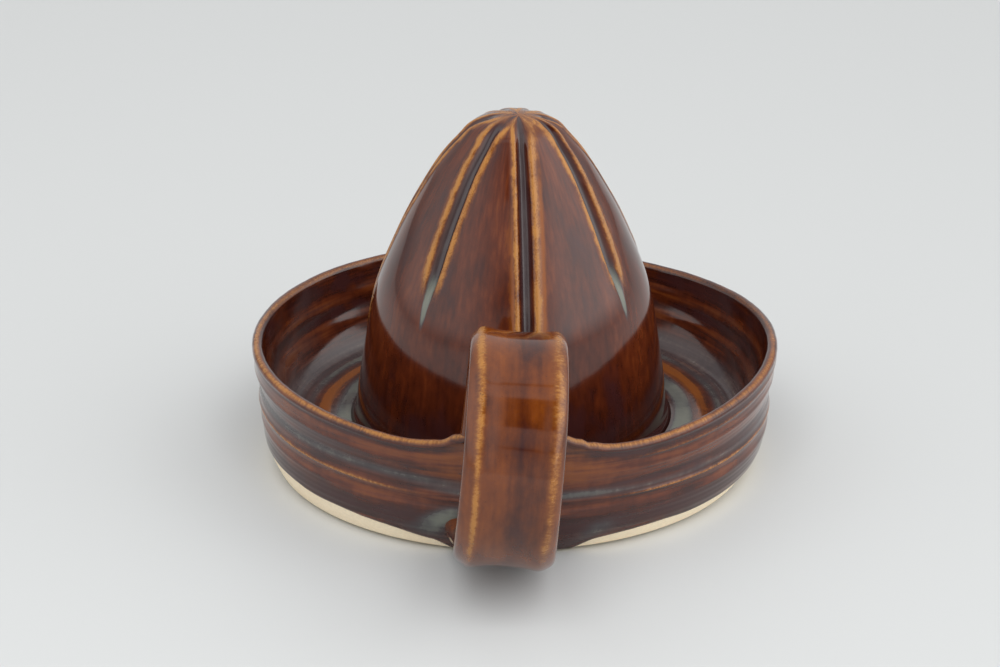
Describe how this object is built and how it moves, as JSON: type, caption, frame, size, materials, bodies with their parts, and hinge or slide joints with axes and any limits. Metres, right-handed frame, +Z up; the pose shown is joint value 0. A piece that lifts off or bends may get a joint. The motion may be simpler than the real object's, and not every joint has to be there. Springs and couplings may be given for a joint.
{
  "type": "citrus juicer",
  "caption": "Hand-thrown stoneware citrus juicer: shallow round dish with a fluted domed reamer in its middle, a juice moat round it and a strap loop handle.",
  "frame": {"origin": "on the table, under the middle of the overall length and width; the pot's axis stands 21.6 mm behind it along +Y", "axes": "+Z up along the pot's axis, -Y towards the handle, +X to the right seen from the handle"},
  "size_m": [0.1508, 0.1939, 0.103],
  "materials": {
    "brown_glaze": "glossy brown glaze that breaks to honey on edges and pools grey-green in hollows",
    "bare_clay": "matt unglazed cream stoneware"
  },
  "bodies": {
    "root": {"dish_floor": "bare_clay", "dish_wall": "brown_glaze", "reamer_cone": "brown_glaze", "reamer_foot_coil": "brown_glaze", "strap_handle": "brown_glaze", "handle_upper_wad": "brown_glaze", "handle_lower_wad": "brown_glaze"}
  },
  "joints": []
}
